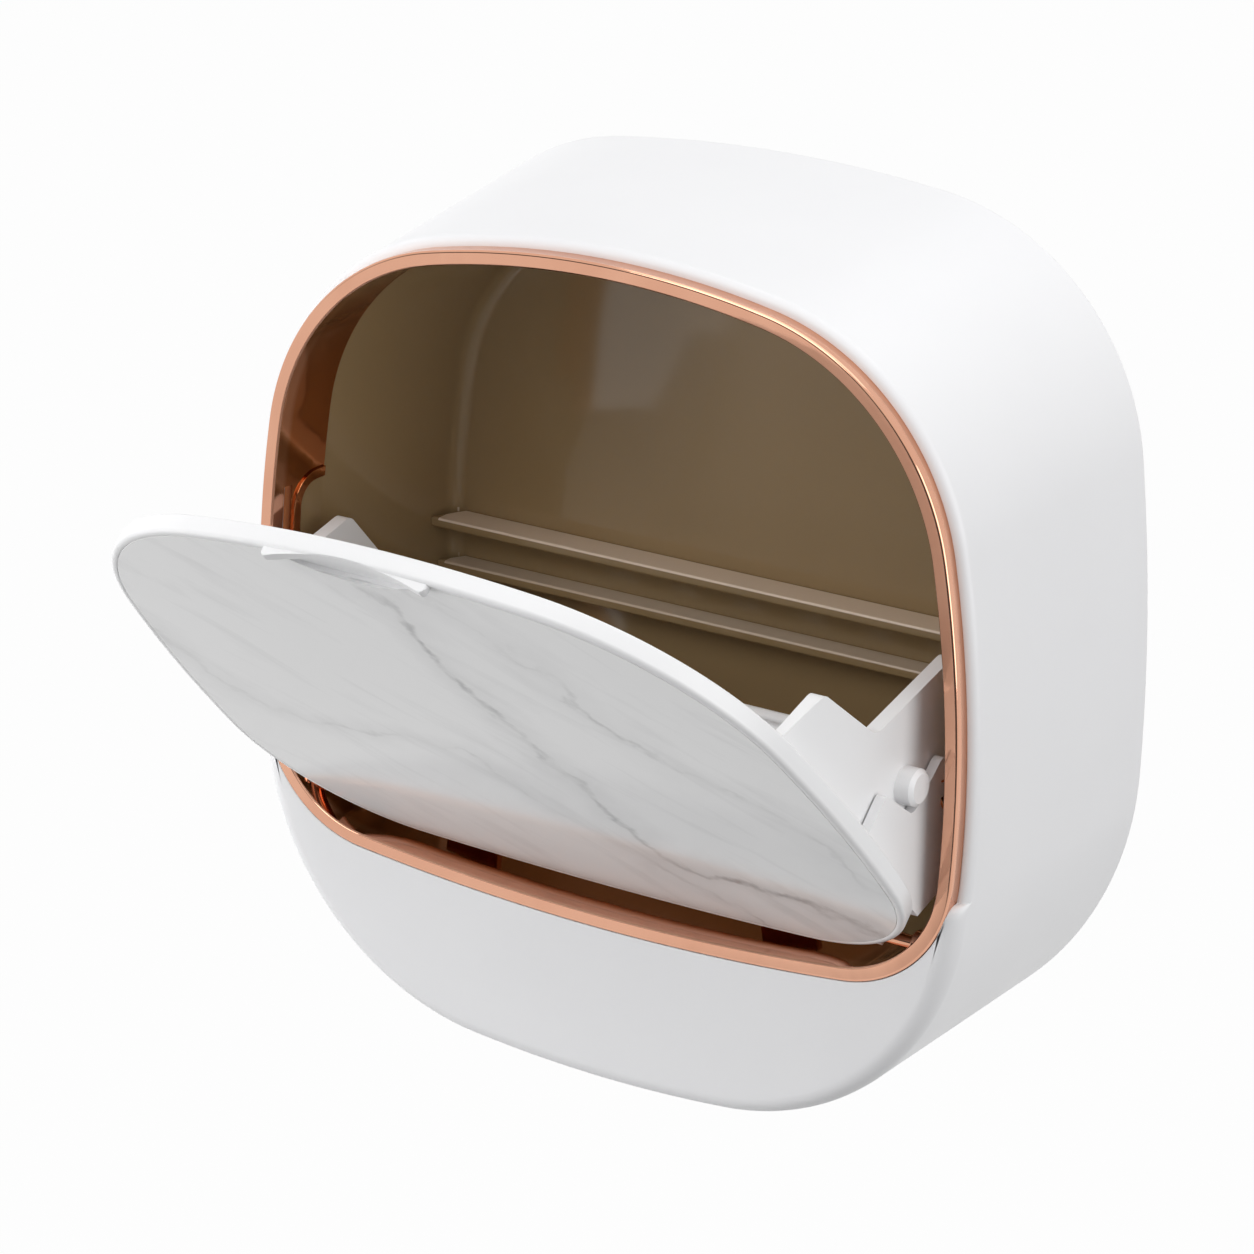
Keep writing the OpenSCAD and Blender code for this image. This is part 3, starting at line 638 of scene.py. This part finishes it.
def upright(radius, depth, z0, z1):
    """Upright cylinder with its rear at a depth."""
    bm = bmesh.new()
    bmesh.ops.create_cone(
        bm, cap_ends=True, segments=240, radius1=radius, radius2=radius, depth=z1 - z0
    )
    bmesh.ops.translate(bm, vec=(0, depth - radius, (z0 + z1) / 2), verts=bm.verts)
    return bm


PULL_HALF = 14.6
PULL_LOW = 61.3
PULL_ARC = 25.5
PULL_PROUD = 1.5

slab = bmesh.new()
rings = [
    lid_edge.inset(1.25).ring(slab, LID_FRONT + 0.5),
    lid_edge.inset(1.25).ring(slab, LID_FRONT + 0.06),
    lid_edge.inset(1.15).ring(slab, LID_FRONT),
]
for step in range(7):
    turn = math.radians(90 * step / 6)
    reach = 0.8 * (1 - math.sin(turn))
    rings.append(lid_edge.inset(reach).ring(slab, LID_FRONT + 0.8 * (1 - math.cos(turn))))
for step in range(5):
    turn = math.radians(90 * step / 4)
    reach = 0.5 * (1 - math.cos(turn))
    rings.append(lid_edge.inset(reach).ring(slab, LID_BACK - 0.5 * (1 - math.sin(turn))))
skin(slab, rings)
whole(slab)


def crescent(gap, depth0, depth1):
    """Right half of the round block that bounds the pull from below, grown by a gap."""
    bm = bmesh.new()
    radius = PULL_ARC + gap
    bmesh.ops.create_cone(
        bm, cap_ends=True, segments=480, radius1=radius, radius2=radius, depth=depth1 - depth0
    )
    bmesh.ops.rotate(bm, cent=(0, 0, 0), matrix=Matrix.Rotation(math.pi / 2, 3, "X"), verts=bm.verts)
    centre = (0, (depth0 + depth1) / 2, PULL_LOW + PULL_ARC)
    bmesh.ops.translate(bm, vec=centre, verts=bm.verts)
    return carve(bm, block(-3, 20, depth0 - 1, depth1 + 1, 55, 72), "INTERSECT")


def scoop(dip):
    """What is taken from the brow to leave it low at its middle."""
    side = block(-3, PULL_HALF + 0.1, -3, 6, 60, 72)
    return carve(upright(52.12, LID_FRONT + dip, PULL_LOW - 0.5, 70), side, "INTERSECT")


filler = carve(
    prism(lid_edge.inset(0.97), LID_FRONT + 0.02, LID_FRONT + 1), crescent(0, 0, 4), "INTERSECT"
)
brow = bmesh.new()
rings = [
    lid_edge.inset(0.42).ring(brow, LID_FRONT + 1.6),
    lid_edge.inset(0.42).ring(brow, LID_FRONT - PULL_PROUD + 0.5),
    lid_edge.inset(0.57).ring(brow, LID_FRONT - PULL_PROUD + 0.15),
    lid_edge.inset(0.92).ring(brow, LID_FRONT - PULL_PROUD),
    lid_edge.inset(1.45).ring(brow, LID_FRONT - PULL_PROUD),
    lid_edge.inset(1.80).ring(brow, LID_FRONT - PULL_PROUD + 0.15),
    lid_edge.inset(1.95).ring(brow, LID_FRONT - PULL_PROUD + 0.5),
    lid_edge.inset(1.95).ring(brow, LID_FRONT + 1.6),
]
skin(brow, rings + rings[:1])
whole(brow)
front = LID_FRONT - PULL_PROUD - 0.01
tip = side_plate([(front, PULL_HALF, 1.45), (front, -3, 0), (5, -3, 0), (5, PULL_HALF, 0)], -70, -PULL_LOW)
bmesh.ops.rotate(tip, cent=(0, 0, 0), matrix=Matrix.Rotation(math.pi / 2, 3, "Y"), verts=tip.verts)
drop_corners = [
    (-3, 64.7, 0),
    (PULL_HALF, 64.7, 0.78),
    (PULL_HALF, 66.36, 0.78),
    (12, 66.8, 0),
    (10, 70, 0),
    (-3, 70, 0),
]
drop = side_plate(drop_corners, -6, 3)
bmesh.ops.rotate(drop, cent=(0, 0, 0), matrix=Matrix.Rotation(-math.pi / 2, 3, "Z"), verts=drop.verts)
brow = carve(carve(carve(brow, tip, "INTERSECT"), drop, "INTERSECT"), scoop(0.5))
soften(brow, 0.4, 4, 35)
hollow = carve(
    carve(
        prism(lid_edge.inset(1.97), -2, LID_FRONT + 3),
        upright(75.42, LID_FRONT + 1.2, PULL_LOW - 2, 70),
        "INTERSECT",
    ),
    crescent(-0.1, -3, 6),
    "INTERSECT",
)
slab = carve(carve(carve(slab, filler, "UNION"), hollow), scoop(0.56))
slab = carve(slab, brow, "UNION")
right_half(slab)

cheek = side_plate(
    [
        (5.0, -20, 0),
        (5.05, -20, 0),
        (13.05, -24, 3),
        (26.05, -15, 3),
        (26.05, -6.9, 1.6),
        (15.05, -6.0, 1.8),
        (13.05, 3.7, 0.8),
        (5.0, 3.7, 0),
    ],
    57.9,
    59.5,
)
cheek = carve(cheek, prism(frame_opening.inset(0.5), 2, 40), "INTERSECT")
soften(cheek, 0.2, 2)
neck = block(28.5, 31.5, 4.8, 7.25, -23.5, -11.5)
head = block(26.5, 33.5, 7.25, 8.65, -23.5, -11.5)
soften(head, 0.3, 2)
join(cheek, neck)
join(cheek, head)
knuckle_end = lid_edge.half_width(HINGE[1]) - 0.7
knuckle = carve(
    cross_rod(knuckle_end - 9, knuckle_end, *HINGE, 2.3),
    block(30, 70, LID_FRONT + 0.8, 9, -33, -20),
    "INTERSECT",
)
soften(knuckle, 0.3, 2)
join(cheek, knuckle)
join(slab, both_sides(cheek))

lid_white = white_moulding("lid_white", (0.86, 0.86, 0.865), (0.82, 0.82, 0.83), 0.34)
piece(tilted(slab), "lid", lid_white, "lid", "lid_white", "lid_panel")


# Marble face
# A thin sheet with printed veins under clear gloss, bonded into the recess of the lid.
# Soft grey veins run down across it from the left.
sheet = bmesh.new()
rings = [
    lid_edge.inset(1.28).ring(sheet, LID_FRONT + 0.5),
    lid_edge.inset(1.28).ring(sheet, LID_FRONT + 0.05),
    lid_edge.inset(1.33).ring(sheet, LID_FRONT),
]
skin(sheet, rings)
whole(sheet)
sheet = carve(sheet, crescent(0.05, 0, 4))
right_half(sheet)

marble = Finish("face_marble", Specular_IOR_Level=0.5, IOR=1.5)
flat = marble.node(
    "Mapping",
    {"vector_type": "POINT"},
    {"Vector": marble.place(), "Rotation": (-OPEN, 0, 0), "Location": (0, 0, -0.0412)},
)
x_way = marble.node("SeparateXYZ", {}, {0: flat}, "X")
z_way = marble.node("SeparateXYZ", {}, {0: flat}, "Z")
along = (x_way - z_way) * 5 + 0.5
across = (x_way + z_way) * 5 + 0.5
crinkle = (marble.noise(90, 8, flat) - 0.5) * 0.13 + (marble.noise(16, 2, flat) - 0.5) * 0.07


def vein(path, width):
    """Strength of one vein: its path across the sheet is given along the falling diagonal."""
    middle = marble.node("ValToRGB", {"stops": path}, {"Fac": along})
    away = marble.node("Math", {"operation": "ABSOLUTE"}, {0: across + crinkle - middle})
    return marble.node(
        "MapRange",
        {"interpolation_type": "SMOOTHSTEP"},
        {"Value": away, "From Min": 0.0, "From Max": width, "To Min": 1.0, "To Max": 0.0},
    )


patchy = marble.node(
    "MapRange", {}, {"Value": marble.noise(38, 3, flat), "From Min": 0.35, "From Max": 0.65}
)
main = ((0.24, 0.80), (0.38, 0.67), (0.53, 0.60), (0.66, 0.51), (0.78, 0.59), (0.88, 0.64))
left = ((0.05, 0.33), (0.16, 0.29), (0.24, 0.28), (0.35, 0.40), (0.42, 0.49), (0.60, 0.47))
right = ((0.30, 0.87), (0.46, 0.82), (0.58, 0.79), (0.66, 0.83), (0.72, 0.81), (0.80, 0.77))
breaks = marble.node(
    "MapRange", {}, {"Value": marble.noise(240, 3, flat), "From Min": 0.38, "From Max": 0.6}
)
threads = vein(main, 0.014) * (patchy * 0.7 + 0.3)
threads = threads + vein(left, 0.010) * (patchy * 0.5 + 0.05)
threads = threads + vein(right, 0.010) * (1.0 - patchy) * 0.5
smoky = vein(main, 0.075) * 0.42 + vein(left, 0.06) * 0.3 + vein(right, 0.07) * 0.26
run = marble.node("CombineXYZ", {}, {0: along * 0.22, 1: across})
streaks = marble.node(
    "MapRange", {}, {"Value": marble.noise(26, 5, run, 0.5), "From Min": 0.52, "From Max": 0.74}
)
clouds = marble.noise(14, 5, flat, 0.8)
ground = marble.blend(clouds, (0.89, 0.89, 0.89), (0.83, 0.83, 0.832))
ground = marble.blend(smoky + streaks * 0.4, ground, (0.64, 0.64, 0.645))
ground = marble.blend(threads * (breaks * 0.6 + 0.2), ground, (0.27, 0.27, 0.275))
marble.wire("Base Color", ground)
marble.wire("Roughness", marble.noise(80, 3, flat) * 0.05 + 0.08)
marble.wire("Normal", marble.bump(marble.noise(30, 1), 0.03, 0.001))
piece(tilted(sheet), "marble", marble.material, "lid", "face_marble", "marble_face")


# Cradle
# A lift-out bin in the same white plastic, hung on the rails behind the lid. Its side plates
# rise to an ear at the lid and an arm at the rear, and carry a stud each.
def from_solid(node):
    """A merged copy of a node's mesh, in millimetres, with its flat faces whole."""
    bm = bmesh.new()
    bm.from_mesh(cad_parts[node].data)
    from_wall = Matrix.Scale(1000, 4) @ Matrix.Translation((0, WALL_DEPTH * 0.001, 0))
    bmesh.ops.transform(bm, matrix=from_wall, verts=bm.verts)
    bmesh.ops.remove_doubles(bm, verts=bm.verts, dist=1e-3)
    bmesh.ops.dissolve_limit(bm, angle_limit=math.radians(1), verts=bm.verts, edges=bm.edges)
    return bm


cradle = from_solid("soap_cradle")
soften(cradle, 0.3, 3)
cradle_white = white_moulding("cradle_white", (0.86, 0.86, 0.865), (0.82, 0.82, 0.83), 0.34)
piece(cradle, "cradle", cradle_white, "cradle", "cradle_white", "soap_cradle")


# Hinge pins
# Two short steel pins with the same copper plating, pressed into the lid's lower corners.
# Each turns in a boss of the frame.
for node in ("hinge_pin_left", "hinge_pin_right"):
    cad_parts[node].data.materials.clear()
    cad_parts[node].data.materials.append(plated("pin_copper"))


# Back cover and screws
# A flat satin plate in the rabbet of the case, held by four small zinc-plated screws.
# Two keyholes in it drop over the hooks on the wall.
cover = from_solid("back_cover")
soften(cover, 0.25, 2)
cover_white = white_moulding("cover_white", (0.74, 0.74, 0.75), (0.70, 0.70, 0.71), 0.5)
piece(cover, "cover", cover_white, "housing", "cover_white", "back_cover")

zinc = Finish("screw_steel", Metallic=1.0)
zinc.wire("Base Color", zinc.blend(zinc.noise(400, 3), (0.62, 0.62, 0.63), (0.50, 0.50, 0.52)))
zinc.wire("Roughness", zinc.noise(900, 2) * 0.2 + 0.27)
zinc.wire("Normal", zinc.bump(zinc.noise(3000, 2), 0.1, 0.0001))
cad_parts["cover_screws"].data.materials.clear()
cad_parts["cover_screws"].data.materials.append(zinc.material)


# Wall plate and pad
# A moulded plate with two hooks, stuck to the wall by a pad of grey foam tape.
plate = from_solid("wall_plate")
soften(plate, 0.25, 2)
plate_white = white_moulding("plate_white", (0.70, 0.70, 0.71), (0.66, 0.66, 0.67), 0.5)
piece(plate, "plate", plate_white, "mount", "plate_white", "wall_plate")

foam = Finish("pad_grey", Specular_IOR_Level=0.3)
cells = foam.noise(2600, 3)
foam.wire("Base Color", foam.blend(cells, (0.055, 0.055, 0.058), (0.03, 0.03, 0.032)))
foam.wire("Roughness", cells * 0.2 + 0.7)
foam.wire("Normal", foam.bump(cells, 0.5, 0.0003))
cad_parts["adhesive_pad"].data.materials.clear()
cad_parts["adhesive_pad"].data.materials.append(foam.material)


# Studio
# A plain pale floor well below the dish, a pale world and four large soft lamps. To the
# dish's gloss the front of the room is dim near the horizon, where the camera stands.
ground_mesh = bmesh.new()
bmesh.ops.create_grid(ground_mesh, x_segments=1, y_segments=1, size=4)
bmesh.ops.translate(ground_mesh, vec=(0, 0, -0.42), verts=ground_mesh.verts)
mesh = bpy.data.meshes.new("floor")
ground_mesh.to_mesh(mesh)
ground_mesh.free()
floor = bpy.data.objects.new("floor", mesh)
scene.collection.objects.link(floor)
pale = Finish("pale_floor", Base_Color=(0.18, 0.18, 0.18, 1), Roughness=0.8)
mesh.materials.append(pale.material)


def seen(tree):
    """1 for what the camera sees, straight, in gloss or through glass, and 0 for other light."""
    paths = tree.node("LightPath", out="Is Camera Ray")
    for way in ("Is Glossy Ray", "Is Transmission Ray"):
        paths = tree.node("Math", {"operation": "MAXIMUM"}, {0: paths, 1: tree.node("LightPath", out=way)})
    return paths


def fade(tree, way, start, end):
    """0 to 1 along one axis."""
    place = tree.node("SeparateXYZ", {}, {0: tree.place()}, way)
    return tree.node("MapRange", {}, {"Value": place, "From Min": start, "From Max": end})


dim = fade(pale, "X", -0.45, -0.2) * fade(pale, "Y", -0.6, -0.9) * 0.9
glow = pale.node(
    "Emission",
    {},
    {"Color": (1, 1, 1, 1), "Strength": 1.0 - dim * pale.node("LightPath", out="Is Glossy Ray")},
)
mixed = pale.node(
    "MixShader", {}, {0: seen(pale) * 0.98, 1: Wire(pale, pale.shader.outputs[0]), 2: glow}
)
pale.tree.links.new(mixed.socket, pale.tree.nodes["Material Output"].inputs["Surface"])


class Sky(Finish):
    """The same sums in the world."""

    def __init__(self, world):
        world.use_nodes = True
        self.tree = world.node_tree
        self.shader = self.tree.nodes["Background"]


scene.world = bpy.data.worlds.new("studio")
sky = Sky(scene.world)
sky.shader.inputs["Color"].default_value = (1, 1, 1, 1)
dim = fade(sky, "Y", -0.5, -0.75) * fade(sky, "Z", 0.5, 0.3) * 0.9
sky.wire("Strength", seen(sky) * 0.5 + 0.5 - dim * sky.node("LightPath", out="Is Glossy Ray"))

for name, place, size, power, in_gloss in (
    ("top", (0.0, 0.1, 1.1), 1.2, 4.6, True),
    ("right", (1.2, -0.1, 0.2), 1.0, 6.8, True),
    ("front", (-0.2, -0.85, 0.95), 0.8, 4.6, True),
    ("left", (-0.9, -0.55, -0.2), 0.6, 8.0, False),
):
    light = bpy.data.lights.new(name, "AREA")
    light.shape = "SQUARE"
    light.size = size
    light.energy = power
    lamp = bpy.data.objects.new(name, light)
    lamp.location = place
    lamp.visible_glossy = in_gloss
    aim = Vector((0, -0.03, 0)) - lamp.location
    lamp.rotation_euler = aim.to_track_quat("-Z", "Y").to_euler()
    scene.collection.objects.link(lamp)

scene.view_settings.view_transform = "Standard"
